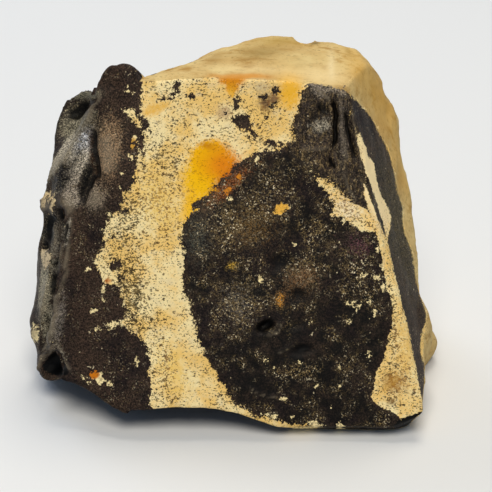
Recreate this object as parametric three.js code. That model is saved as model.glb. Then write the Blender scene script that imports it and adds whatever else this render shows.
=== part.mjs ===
import * as THREE from 'three';
import { mergeVertices } from 'three/addons/utils/BufferGeometryUtils.js';

// A hand-sized block of landscape jasper, broken from a nodule: one natural stone.
// Its surface is worked out along rays from a point deep inside, the heart. Each ray
// stops where it meets the first broken face, so flat breaks meet in crisp ridges,
// and lumps and gouges are laid over them. Millimetres, +Z up, the best face to -Y.

const heart = new THREE.Vector3(-2, 12, 29);  // the base lies 29 mm below it
const splitsPerEdge = 19;                     // 20 x (19 + 1)^2 = 8000 triangles

// Each break: turn in degrees from the front (positive to the right), lift in degrees
// above the level, reach in mm from the heart, and the radius in mm of its dish.
// A positive radius is a hollow shell-shaped break, a negative one a gentle dome,
// and 0 is flat.
const breaks = {
  left: [-95, 6, 35, 0],
  leftUpper: [-77, 34.4, 34, 0],
  leftHeel: [-85, -14, 41.9, 0],
  leftLow: [-45, -50, 38.8, 0],
  leftRear: [-132, 12, 31, 60],
  right: [72, 21, 28.8, 0],
  rightUpper: [98, 56, 39.3, 0],
  rightMiddle: [86, 32, 35.9, -120],
  rightBack: [94, 7, 32.8, -200],
  rightLow: [89, -18, 39.4, 0],
  shoulder: [112, 26, 40, -60],
  rightRear: [138, 8, 35, -110],
  top: [20, 86, 30.1, -260],
  topLeftRear: [-139, 60, 31.2, 0],
  topRear: [178, 50, 36.3, -110],
  back: [178, 4, 27, 110],
  backLow: [185, -42, 31.5, 0],
  backHeel: [150, -58, 33.5, 0],
  underRight: [28, -41, 45.5, 0],
  underFront: [0, -50, 37.8, 0],
};

// Lumps that stand out of the breaks. Each is a spheroid between two points, and the
// last number is its width, all in mm.
const lumps = {
  peak: [[-22.2, 12.8, 45], [-21.4, 11.4, 61.4], 8.4],
  rightBoss: [[26.8, 4, 0], [28.9, 3, 19.5], 13],
  leftBossUpper: [[-29.2, 11, 26], [-31.2, 11, 42], 16],
  leftBossLower: [[-30, 6, 2], [-32, 6, 19], 15],
  rearKnob: [[-30, 19, 41], [-29.9, 18.5, 53], 8],
  rightKnob: [[24.2, 28, 47], [25, 27, 34], 8.4],
  rightHeel: [[29.8, 12, -2.5], [30.4, 12, 9], 12],
  cornerHorn: [[-32, -3, 10], [-38.2, -1.5, 5.6], 5],
};

// Breaks that were struck last and cut the lumps too.
const lateBreaks = {
  front: [0, 24, 14.2, 0],
  frontLeft: [-20, 22, 19.6, 0],
  leftFront: [-64, 12, 32.6, 0],
};

// Gouges, as the lumps are given but taken away.
const gouges = {
  frontArch: [[-12, -25, -79.6], [-12, -25, 7.3], 86.9],
  topDent: [[11, 24, 62], [11, 44, 56], 5],
  shoulderDent: [[28.6, 16, 52.6], [30.4, 44, 48.2], 9],
  kneeTrough: [[-30, 21.5, 60.5], [-40.5, 8.2, 42.5], 14],
  kneePit: [[-31, 20, 53.5], [-35.5, 15, 48.5], 4],
  longGroove: [[-26.9, 7.6, 54], [-27, 2.4, 41.8], 5],
  lowGroove: [[-27.1, 3.8, 45.3], [-30.5, 1.4, 36.7], 5],
  greyScoop: [[-26.8, 7, 56], [-34.4, 2.2, 38.3], 8],
  lowScoop: [[-28.7, 4.3, 46.7], [-33.7, 1.7, 36.3], 6],
  cornerPit: [[-31.2, -8.5, 15.5], [-36.6, -9.6, 8.6], 5.5],
  sideFluteUpper: [[-34.6, 5.5, 37.1], [-36, -0.6, 18.9], 5],
  sideFluteLower: [[-35.3, 0.2, 24], [-38.6, -0.8, 8], 5],
  rimNotchUpper: [[-37.3, 2.9, 36.5], [-38, 5.1, 28.5], 4],
  rimNotchLower: [[-38.4, 4.6, 25.6], [-40, 2, 12.9], 4],
};

// Slow unevenness of a natural break: [height, wave length], in mm.
const swells = [[0.35, 21], [0.2, 11]];
const ridgeStray = 0.009;        // how far the rays stray, so that no ridge is quite straight
const ridgeStrayLength = 0.55;   // the length of that straying, as the rays are, on a unit ball
const restDepth = heart.z;       // the heart's height over the flat spot that it rests on
const calmHeight = 6;            // the unevenness dies out over this height above the rest spot

// The unit vector of a turn and a lift.
function aim(turn, lift) {
  const t = THREE.MathUtils.degToRad(turn);
  const l = THREE.MathUtils.degToRad(lift);
  return new THREE.Vector3(Math.sin(t) * Math.cos(l), -Math.cos(t) * Math.cos(l), Math.sin(l));
}

// How far a ray from the heart goes before it meets one break. A flat break is the
// reach over the cosine. A dish is a ball: the near side of one in front of the break
// for a hollow, and the far side of one behind it for a dome.
function reachOfBreak(ray, [turn, lift, reach, dish]) {
  const normal = aim(turn, lift);
  if (dish === 0) {
    const cosine = ray.dot(normal);
    return cosine > 1e-3 ? reach / cosine : Infinity;
  }
  const centre = normal.multiplyScalar(reach + dish);
  const along = ray.dot(centre);
  const inside = along ** 2 - centre.lengthSq() + dish ** 2;
  if (dish < 0) return along + Math.sqrt(Math.max(inside, 0));
  return inside > 0 && along > 0 ? along - Math.sqrt(inside) : Infinity;
}

// Where a ray goes into and comes out of a spheroid between two points. Space is
// squeezed along and across the axis until the spheroid is a ball of radius 1.
function spanOfSpheroid(ray, [from, to, width]) {
  const start = new THREE.Vector3(...from).sub(heart);
  const end = new THREE.Vector3(...to).sub(heart);
  const middle = start.clone().add(end).multiplyScalar(0.5);
  const axis = end.clone().sub(start);
  const squeezeAlong = 2 / axis.length() - 2 / width;
  axis.normalize();
  const squeeze = (v) => {
    const along = v.dot(axis) * squeezeAlong;
    return v.clone().multiplyScalar(2 / width).addScaledVector(axis, along);
  };
  const step = squeeze(ray);
  const centre = squeeze(middle);
  const square = step.lengthSq();
  const half = step.dot(centre);
  const inside = half ** 2 - square * (centre.lengthSq() - 1);
  if (inside <= 0 || half <= 0) return null;
  const root = Math.sqrt(inside);
  return { enter: (half - root) / square, leave: (half + root) / square };
}

// A slow wave through space, from -1 to 1: the mean of three sines along slanting lines.
function wave(point, length, phase) {
  const turns = (2 * Math.PI) / length;
  const a = Math.sin(turns * (0.8 * point.x + 0.5 * point.y + 0.33 * point.z) + phase);
  const b = Math.sin(turns * (-0.45 * point.x + 0.82 * point.y + 0.36 * point.z) + 2.1 * phase);
  const c = Math.sin(turns * (0.28 * point.x - 0.4 * point.y + 0.87 * point.z) + 3.7 * phase);
  return (a + b + c) / 3;
}

// The distance from the heart to the surface along a ray, and the number of the break,
// lump or gouge that the ray ends on.
function surfaceAlong(ray) {
  const strayed = ray.clone();
  strayed.x += ridgeStray * wave(ray, ridgeStrayLength, 1);
  strayed.y += ridgeStray * wave(ray, ridgeStrayLength, 2);
  strayed.z += ridgeStray * wave(ray, ridgeStrayLength, 3);
  strayed.normalize();

  let distance = Infinity;
  let number = 0;
  let found = 0;
  const takeNearer = (reach) => {
    if (reach < distance) {
      distance = reach;
      found = number;
    }
    number += 1;
  };
  for (const face of Object.values(breaks)) takeNearer(reachOfBreak(strayed, face));
  for (const lump of Object.values(lumps)) {
    const hit = spanOfSpheroid(strayed, lump);
    if (hit && hit.leave > distance) {
      distance = hit.leave;
      found = number;
    }
    number += 1;
  }
  for (const face of Object.values(lateBreaks)) takeNearer(reachOfBreak(strayed, face));
  for (const gouge of Object.values(gouges)) {
    const hit = spanOfSpheroid(strayed, gouge);
    takeNearer(hit ? hit.enter : Infinity);
  }

  const point = ray.clone().multiplyScalar(distance);
  const calm = THREE.MathUtils.smoothstep(restDepth + point.z, 0, calmHeight);
  swells.forEach(([size, length], index) => {
    distance += calm * size * wave(point, length, 5 + index);
  });
  takeNearer(reachOfBreak(ray, [0, -90, restDepth, 0]));
  return { distance, found };
}

// The ray between two others at which one surface gives way to the next.
function rayOfRidge(one, other) {
  const first = surfaceAlong(one).found;
  let near = one.clone();
  let far = other.clone();
  for (let halving = 0; halving < 12; halving += 1) {
    const middle = near.clone().add(far).normalize();
    if (surfaceAlong(middle).found === first) near = middle;
    else far = middle;
  }
  return far;
}

// Even rays in all directions, and the triangles between them.
function evenRays() {
  const ball = new THREE.IcosahedronGeometry(1, splitsPerEdge);
  ball.deleteAttribute('normal');
  ball.deleteAttribute('uv');
  return mergeVertices(ball, 1e-4);
}

// The rays beside each ridge are turned onto it, so that the ridge comes out crisp.
function turnOntoRidges(rays, triangles) {
  const owners = rays.map((ray) => surfaceAlong(ray).found);
  const crossings = rays.map(() => new Map());
  for (let side = 0; side < triangles.count; side += 1) {
    const step = side % 3 === 2 ? -2 : 1;
    const a = triangles.getX(side);
    const b = triangles.getX(side + step);
    if (owners[a] === owners[b]) continue;
    const [low, high] = owners[a] < owners[b] ? [a, b] : [b, a];
    if (!crossings[low].has(high)) crossings[low].set(high, rayOfRidge(rays[low], rays[high]));
  }
  return rays.map((ray, index) => {
    if (crossings[index].size === 0) return ray;
    const sum = new THREE.Vector3();
    for (const crossing of crossings[index].values()) sum.add(crossing);
    return sum.normalize();
  });
}

function makeStoneGeometry() {
  const geometry = evenRays();
  const positions = geometry.attributes.position;
  const rays = [];
  for (let index = 0; index < positions.count; index += 1) {
    rays.push(new THREE.Vector3().fromBufferAttribute(positions, index).normalize());
  }
  turnOntoRidges(rays, geometry.index).forEach((ray, index) => {
    const point = ray.clone().multiplyScalar(surfaceAlong(ray).distance).add(heart);
    positions.setXYZ(index, point.x, point.y, point.z);
  });

  // The origin is under the middle of the stone, at the level that it rests on.
  geometry.computeBoundingBox();
  const { min, max } = geometry.boundingBox;
  geometry.translate(-(min.x + max.x) / 2, -(min.y + max.y) / 2, -min.z);
  geometry.computeVertexNormals();
  return geometry;
}

const jasper = new THREE.MeshStandardMaterial({
  name: 'jasper',
  color: 0x4a3c30,
  roughness: 0.6,
  metalness: 0,
  flatShading: true,
});

const stone = new THREE.Mesh(makeStoneGeometry(), jasper);
stone.name = 'stone';

const landscapeJasper = new THREE.Group();
landscapeJasper.add(stone);

export default landscapeJasper;
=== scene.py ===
import functools
import math

import bpy
import numpy as np
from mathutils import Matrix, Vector


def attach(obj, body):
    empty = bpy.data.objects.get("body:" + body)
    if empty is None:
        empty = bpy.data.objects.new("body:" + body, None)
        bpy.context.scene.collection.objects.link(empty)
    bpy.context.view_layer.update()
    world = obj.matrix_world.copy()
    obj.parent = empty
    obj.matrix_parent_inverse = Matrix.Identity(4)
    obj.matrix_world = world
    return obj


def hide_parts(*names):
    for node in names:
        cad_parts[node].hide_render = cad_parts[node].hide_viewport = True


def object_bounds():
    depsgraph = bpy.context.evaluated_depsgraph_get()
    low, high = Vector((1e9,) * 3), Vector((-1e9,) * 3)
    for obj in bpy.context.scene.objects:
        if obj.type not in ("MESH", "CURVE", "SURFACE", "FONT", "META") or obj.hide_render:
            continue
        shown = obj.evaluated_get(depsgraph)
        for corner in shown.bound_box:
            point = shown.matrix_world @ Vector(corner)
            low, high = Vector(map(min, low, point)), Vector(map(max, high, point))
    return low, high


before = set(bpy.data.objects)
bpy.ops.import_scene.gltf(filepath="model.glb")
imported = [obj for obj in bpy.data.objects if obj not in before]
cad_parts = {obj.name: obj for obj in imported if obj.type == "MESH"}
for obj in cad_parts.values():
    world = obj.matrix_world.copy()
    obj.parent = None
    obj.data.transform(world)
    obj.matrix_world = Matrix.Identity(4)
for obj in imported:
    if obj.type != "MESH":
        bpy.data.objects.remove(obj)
cadLow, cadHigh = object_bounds()
print("frame loaded:", sorted(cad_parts))

mm = 0.001

# The stone's shape, all in mm. It is worked out along rays from its heart, as a lapidary would
# knock it out of a lump: flat breaks, lumps that stand out of them, late breaks, gouges.
# A break is turn and lift in degrees, reach from the heart, radius of its dish
# (+ hollow, - domed, 0 flat). A lump or a gouge is a spheroid: two ends and a width.
stoneShape = {
    "heart": (-2.0, 12.0, 29.0),
    "rindBreaks": {
        "rightUpper": (98, 56, 39.3, 0),
        "rightMiddle": (86, 32, 35.9, -120),
        "rightBack": (94, 7, 32.8, -200),
        "shoulder": (112, 26, 40, -60),
        "rightRear": (138, 8, 35, -110),
        "top": (20, 86, 30.1, -260),
        "topLeftRear": (-139, 60, 31.2, 0),
        "topRear": (178, 50, 36.3, -110),
    },
    "breaks": {
        "left": (-95, 6, 35.0, 0),
        "leftUpper": (-77, 34.4, 34.0, 0),
        "leftHeel": (-85, -14, 41.9, 0),
        "leftLow": (-45, -50, 38.8, 0),
        "leftRear": (-132, 12, 31, 60),
        "right": (72, 21, 28.8, 0),
        "rightLow": (89, -18, 39.4, 0),
        "back": (178, 4, 27, 110),
        "backLow": (185, -42, 31.5, 0),
        "backHeel": (150, -58, 33.5, 0),
        "underRight": (28, -41, 45.5, 0),
        "underFront": (0, -50, 37.8, 0),
    },
    "lumps": {
        "peak": ((-22.2, 12.8, 45), (-21.4, 11.4, 61.4), 8.4),
        "rightBoss": ((26.8, 4, 0), (28.9, 3, 19.5), 13),
        "leftBossUpper": ((-29.2, 11, 26), (-30.9, 11, 41.5), 15.6),
        "leftBossLower": ((-30, 6, 2), (-32, 6, 19), 15),
        "peakShoulder": ((-25, 12.8, 44), (-23.4, 11.4, 61.2), 5.4),
        "rearKnob": ((-30, 19, 41), (-29.9, 18.5, 53), 8),
        "rightKnob": ((24.2, 28, 47), (25, 27, 34), 8.4),
        "rightHeel": ((29.8, 12, -2.5), (30.4, 12, 9), 12),
        "heelRib": ((29.6, 14, 2.5), (27.6, 30, 6), 8.7),
        "cornerHorn": ((-31, -2, 11), (-38.6, -1, 5), 7),
    },
    "lateBreaks": {
        "front": (0, 24, 14.2, 0),
        "frontLeft": (-20, 22, 19.6, 0),
        "leftFront": (-64, 12, 32.6, 0),
        "peakFace": (-20, 30, 21.5, 0),
    },
    "gouges": {
        "frontArch": ((-12, -25, -79.6), (-12, -25, 7.3), 86.9),
        "topDent": ((11, 24, 62), (11, 44, 56), 5),
        "shoulderDent": ((28.6, 16, 52.6), (30.4, 44, 48.2), 9),
        "kneeTrough": ((-30, 21.5, 60.5), (-40.5, 8.2, 42.5), 14),
        "kneePit": ((-31, 20, 53.5), (-35.5, 15, 48.5), 4),
        "longGroove": ((-26.9, 7.6, 54), (-27, 2.4, 41.8), 3.6),
        "lowGroove": ((-27.1, 3.8, 45.3), (-30.5, 1.4, 36.7), 4),
        "greyScoop": ((-26.2, 7, 56), (-33.6, 2.2, 38.3), 7.6),
        "lowScoop": ((-28.7, 4.3, 46.7), (-33.7, 1.7, 36.3), 6),
        "cornerPit": ((-37.8, -6.4, 3.8), (-37.8, -6.4, 13.8), 10),
        "sideFluteUpper": ((-34.6, 5.5, 37.1), (-36, -0.6, 18.9), 5),
        "sideFluteLower": ((-35.3, 0.2, 24), (-38.6, -0.8, 8), 5),
        "rimNotchUpper": ((-37.3, 2.9, 36.5), (-38, 5.1, 28.5), 4),
        "rimNotchLower": ((-38.4, 4.6, 25.6), (-40, 2, 12.9), 4),
    },
    "swells": ((0.35, 21), (0.2, 11)),      # height and length of the slow unevenness
    "swellPhase": 5,                        # radians, where the first of them starts
    "ridgeStray": (0.009, 0.55),            # how far the ridges wander, on a ball of radius 1
    "calmHeight": 6.0,                      # the rest spot is flat, it wakes up over this height
    "rindFirmness": 55,                     # weathered ridges are rounder than fresh ones
    "breakFirmness": 190,
    "lumpFirmness": 45,
    "cells": (166, 80, 146),                # mesh cells across, deep and up
    "corners": (                            # a cage near the stone, which spreads the cells evenly
        (-37, -13, 0), (31, -16, 0), (-33, 30, 0), (30, 36, 0),
        (-25, 9, 60), (20, 9, 60), (-25, 30, 57), (22, 36, 57),
    ),
}
heart = np.array(stoneShape["heart"])
farAway = 1e3           # mm, where a ray ends that meets nothing
leastCosine = 1e-3      # a break that lies flatter than this along a ray is never met
tiny = 1e-9             # stands in for a zero below a fraction's line


def linear(hexColour):
    # sRGB hex to linear: c / 12.92 when small, else ((c + 0.055) / 1.055)^2.4, and alpha 1
    channels = [int(hexColour[i:i + 2], 16) / 255 for i in (1, 3, 5)]
    return (*[c / 12.92 if c <= 0.04045 else ((c + 0.055) / 1.055) ** 2.4 for c in channels], 1.0)


def aim(turn, lift):
    # unit vector: (sin turn cos lift, -cos turn cos lift, sin lift)
    t, l = math.radians(turn), math.radians(lift)
    return np.array([math.sin(t) * math.cos(l), -math.cos(t) * math.cos(l), math.sin(l)])


def reachOfBreak(rays, turn, lift, reach, dish):
    # flat: reach / cosine. Dish: near side of a ball in front, or far side of one behind.
    normal = aim(turn, lift)
    if dish == 0:
        cosine = rays @ normal
        return np.where(cosine > leastCosine, reach / np.maximum(cosine, leastCosine), farAway)
    centre = normal * (reach + dish)
    along = rays @ centre
    inside = along ** 2 - centre @ centre + dish ** 2
    root = np.sqrt(np.maximum(inside, 0))
    if dish < 0:
        return along + root
    return np.where((inside > 0) & (along > 0), along - root, farAway)


def spanOfSpheroid(rays, start, end, width):
    # space is squeezed until the spheroid is a ball of radius 1, then |s ray - centre| = 1
    start, end = np.array(start) - heart, np.array(end) - heart
    axis = end - start
    length = np.linalg.norm(axis)
    axis = axis / length

    def squeeze(v):
        return v * (2 / width) + np.multiply.outer(v @ axis, axis) * (2 / length - 2 / width)

    step, centre = squeeze(rays), squeeze((start + end) / 2)
    square = (step ** 2).sum(-1)
    half = step @ centre
    inside = half ** 2 - square * (centre @ centre - 1)
    met = (inside > 0) & (half > 0)
    root = np.sqrt(np.maximum(inside, 0))
    return np.where(met, (half - root) / square, farAway), np.where(met, (half + root) / square, 0)


# a wave is three sines along these slanting lines, each with its share of the phase
waveSlants = ((0.8, 0.5, 0.33, 1), (-0.45, 0.82, 0.36, 2.1), (0.28, -0.4, 0.87, 3.7))


def wave(points, length, phase):
    # mean of three sines along slanting lines, -1 to 1
    turns = 2 * math.pi / length
    x, y, z = points[..., 0], points[..., 1], points[..., 2]
    total = 0
    for byX, byY, byZ, share in waveSlants:
        total = total + np.sin(turns * (byX * x + byY * y + byZ * z) + share * phase)
    return total / len(waveSlants)


noiseSide = 64          # the lattice repeats after this many cells
noiseSeed = 11
seedStep = 7.31         # cells between the noise of one seed and the next
noiseTable = np.random.RandomState(noiseSeed).uniform(-1, 1, (noiseSide,) * 3)


def grain(points, length, seed=0):
    # random values on a lattice of that spacing, blended between its corners by 6f^5 - 15f^4 + 10f^3
    p = points / length + seed * seedStep
    cell = np.floor(p).astype(int)
    f = p - cell
    f = f * f * f * (f * (f * 6 - 15) + 10)
    total = 0
    for i in (0, 1):
        for j in (0, 1):
            for k in (0, 1):
                weight = (
                    np.abs(1 - i - f[..., 0]) * np.abs(1 - j - f[..., 1]) * np.abs(1 - k - f[..., 2])
                )
                at = (cell + (i, j, k)) % noiseSide
                total = total + weight * noiseTable[at[..., 0], at[..., 1], at[..., 2]]
    return total


def fractal(points, length, octaves, seed=0, fade=0.5):
    # sum of grains, each half as long and fade as high as the one before
    total, height, heights = 0, 1.0, 0.0
    for octave in range(octaves):
        total = total + height * grain(points, length / 2 ** octave, seed + octave)
        heights += height
        height *= fade
    return total / heights


def noise(points, height, length, octaves, seed, fade=0.5):
    # height times fractal grain, both in mm
    return height * fractal(points, length, octaves, seed, fade)


def shaken(places, points, height, length, octaves, seeds):
    # places plus one noise of the same height and length along each of their axes
    return places + np.stack([noise(points, height, length, octaves, seed) for seed in seeds], -1)


def smoothStep(x, low, high):
    # 3 t^2 - 2 t^3, where t is how far x is from low to high, kept within 0 to 1
    t = np.clip((x - low) / (high - low), 0, 1)
    return t * t * (3 - 2 * t)


def softNearest(reaches, firmness):
    # m (sum (m / r)^firmness)^(-1 / firmness): the smallest, rounded where two are close
    nearest = reaches.min(0)
    return nearest * ((nearest / reaches) ** firmness).sum(0) ** (-1 / firmness)


def softFarther(a, b, firmness):
    # m ((a / m)^firmness + (b / m)^firmness)^(1 / firmness): the larger, rounded in the same way
    farther = np.maximum(a, b)
    return farther * ((a / farther) ** firmness + (b / farther) ** firmness) ** (1 / firmness)


ownerNames = [
    *stoneShape["rindBreaks"], *stoneShape["breaks"], *stoneShape["lumps"],
    *stoneShape["lateBreaks"], *stoneShape["gouges"], "base",
]
leftParts = (
    "left", "leftHeel", "leftRear", "leftBossUpper", "leftBossLower", "sideFluteUpper",
    "sideFluteLower", "rimNotchUpper", "rimNotchLower",
)
skins = {               # breaks, lumps and gouges that share a skin
    "rindTop": (
        "top", "topRear", "topLeftRear", "shoulder", "rightRear", "rightBack", "rightUpper",
        "rightMiddle",
    ),
    "rindBeside": ("right", "rightBoss", "rightLow"),
    "rindOnly": ("rightHeel", "heelRib", "rightKnob", "topDent", "shoulderDent"),
    "crown": ("topLeftRear", "top", "topRear"),
    "peak": ("peak",),
    "flank": (*leftParts, "rearKnob"),
    "patterned": ("front", "frontLeft"),
    "scarred": (
        *leftParts, "leftUpper", "leftLow", "leftFront", "kneeTrough", "kneePit", "back",
        "backLow", "backHeel", "rightBack",
    ),
    "lumpy": ("rightHeel", "heelRib", "rightKnob", "rightLow"),
    "front": ("front",),
    "base": ("base",),
}


def onSkin(owner, name):
    # whether a point's ray ends on one of the parts that share the named skin
    return np.isin(owner, [ownerNames.index(part) for part in skins[name]])


def surfaceAlong(rays):
    # distance from the heart, what the ray ends on, how near in mm the next break is, and
    # how far in mm the rind lies in front of every fresh break
    s = stoneShape
    stray, strayLength = s["ridgeStray"]
    strayed = rays + stray * np.stack([wave(rays, strayLength, k) for k in (1, 2, 3)], -1)
    strayed /= np.linalg.norm(strayed, axis=-1, keepdims=True)

    # the rind's breaks and the fresh ones: the nearest one ends the ray
    rind = np.stack([reachOfBreak(strayed, *b) for b in s["rindBreaks"].values()])
    fresh = np.stack([reachOfBreak(strayed, *b) for b in s["breaks"].values()])
    both = np.concatenate([rind, fresh])
    owner = both.argmin(0)
    distance = softNearest(rind, s["rindFirmness"])
    distance = softNearest(np.concatenate([distance[None], fresh]), s["breakFirmness"])
    number = len(both)
    # a lump carries the surface out to where the ray leaves it
    for lump in s["lumps"].values():
        leave = spanOfSpheroid(strayed, *lump)[1]
        owner = np.where(leave > distance, number, owner)
        distance = softFarther(distance, leave, s["lumpFirmness"])
        number += 1
    # late breaks and gouges bring it in again to where the ray meets them
    late = [reachOfBreak(strayed, *b) for b in s["lateBreaks"].values()]
    late += [spanOfSpheroid(strayed, *g)[0] for g in s["gouges"].values()]
    late = np.stack(late)
    owner = np.where(late.min(0) < distance, number + late.argmin(0), owner)
    number += len(late)
    distance = softNearest(np.concatenate([distance[None], late]), s["breakFirmness"])

    ordered = np.sort(np.concatenate([both, late]), axis=0)
    ridge = ordered[1] - ordered[0]
    rindLead = np.minimum(fresh.min(0), late.min(0)) - rind.min(0)

    # slow swells, and the flat spot that it rests on
    point = rays * distance[..., None]
    calm = smoothStep(heart[2] + point[..., 2], 0, s["calmHeight"])
    for index, (size, length) in enumerate(s["swells"]):
        distance = distance + calm * size * wave(point, length, s["swellPhase"] + index)
    base = reachOfBreak(rays, 0, -90, heart[2], 0)
    owner = np.where(base < distance, number, owner)
    return np.minimum(distance, base), owner, ridge, rindLead


def shellOfCells(nx, ny, nz):
    # the outside of a block of nx by ny by nz cells: its points as fractions and its quads
    counts = np.array([nx, ny, nz])
    quads = []
    for axis in range(3):
        first, second = [a for a in range(3) if a != axis]
        for side in (0, 1):
            a, b = np.meshgrid(
                np.arange(counts[first] + 1), np.arange(counts[second] + 1), indexing="ij"
            )
            place = np.zeros(a.shape + (3,), int)
            place[..., axis] = side * counts[axis]
            place[..., first] = a
            place[..., second] = b
            key = place[..., 0] + (nx + 1) * (place[..., 1] + (ny + 1) * place[..., 2])
            ring = [key[:-1, :-1], key[1:, :-1], key[1:, 1:], key[:-1, 1:]]
            if (side == 0) != (axis == 1):
                ring = ring[::-1]
            quads.append(np.stack(ring, -1).reshape(-1, 4))
    quads = np.concatenate(quads)
    used, corner = np.unique(quads, return_inverse=True)
    place = np.stack([used % (nx + 1), used // (nx + 1) % (ny + 1), used // ((nx + 1) * (ny + 1))], -1)
    return place / counts, corner.reshape(-1, 4)


def insideCage(fractions, corners):
    # three-way straight blend of the cage's eight corners
    a, b, c = fractions[:, :1], fractions[:, 1:2], fractions[:, 2:]
    total = 0
    for k, corner in enumerate(np.array(corners, float)):
        i, j, m = k & 1, k >> 1 & 1, k >> 2
        total = total + corner * np.abs(1 - i - a) * np.abs(1 - j - b) * np.abs(1 - m - c)
    return total


def pointNormals(points, quads):
    # each quad's diagonals crossed, summed at its corners
    p = points[quads]
    cross = np.cross(p[:, 2] - p[:, 0], p[:, 3] - p[:, 1])
    normals = np.zeros_like(points)
    for corner in range(4):
        for axis in range(3):
            normals[:, axis] += np.bincount(
                quads[:, corner], weights=cross[:, axis], minlength=len(points)
            )
    return normals / np.linalg.norm(normals, axis=1, keepdims=True)


# The markings are outlines in mm, across and up, on a sheet held square to someone who looks at
# the patterned break from 320 mm away and 28 degrees above the table.
sight = {
    "towards": (0.0, 0.0, 31.0), "height": 28.0, "distance": 320.0,
    "pixelsPerMm": 5.6, "pixelsAcross": 492, "sensor": 36.0,        # the camera that stands there
}
sightLift = math.radians(sight["height"])
sightLine = -aim(0, sight["height"])
sightUp = np.array([0, math.sin(sightLift), math.cos(sightLift)])
sightFrom = np.array(sight["towards"]) - sightLine * sight["distance"]

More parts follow.
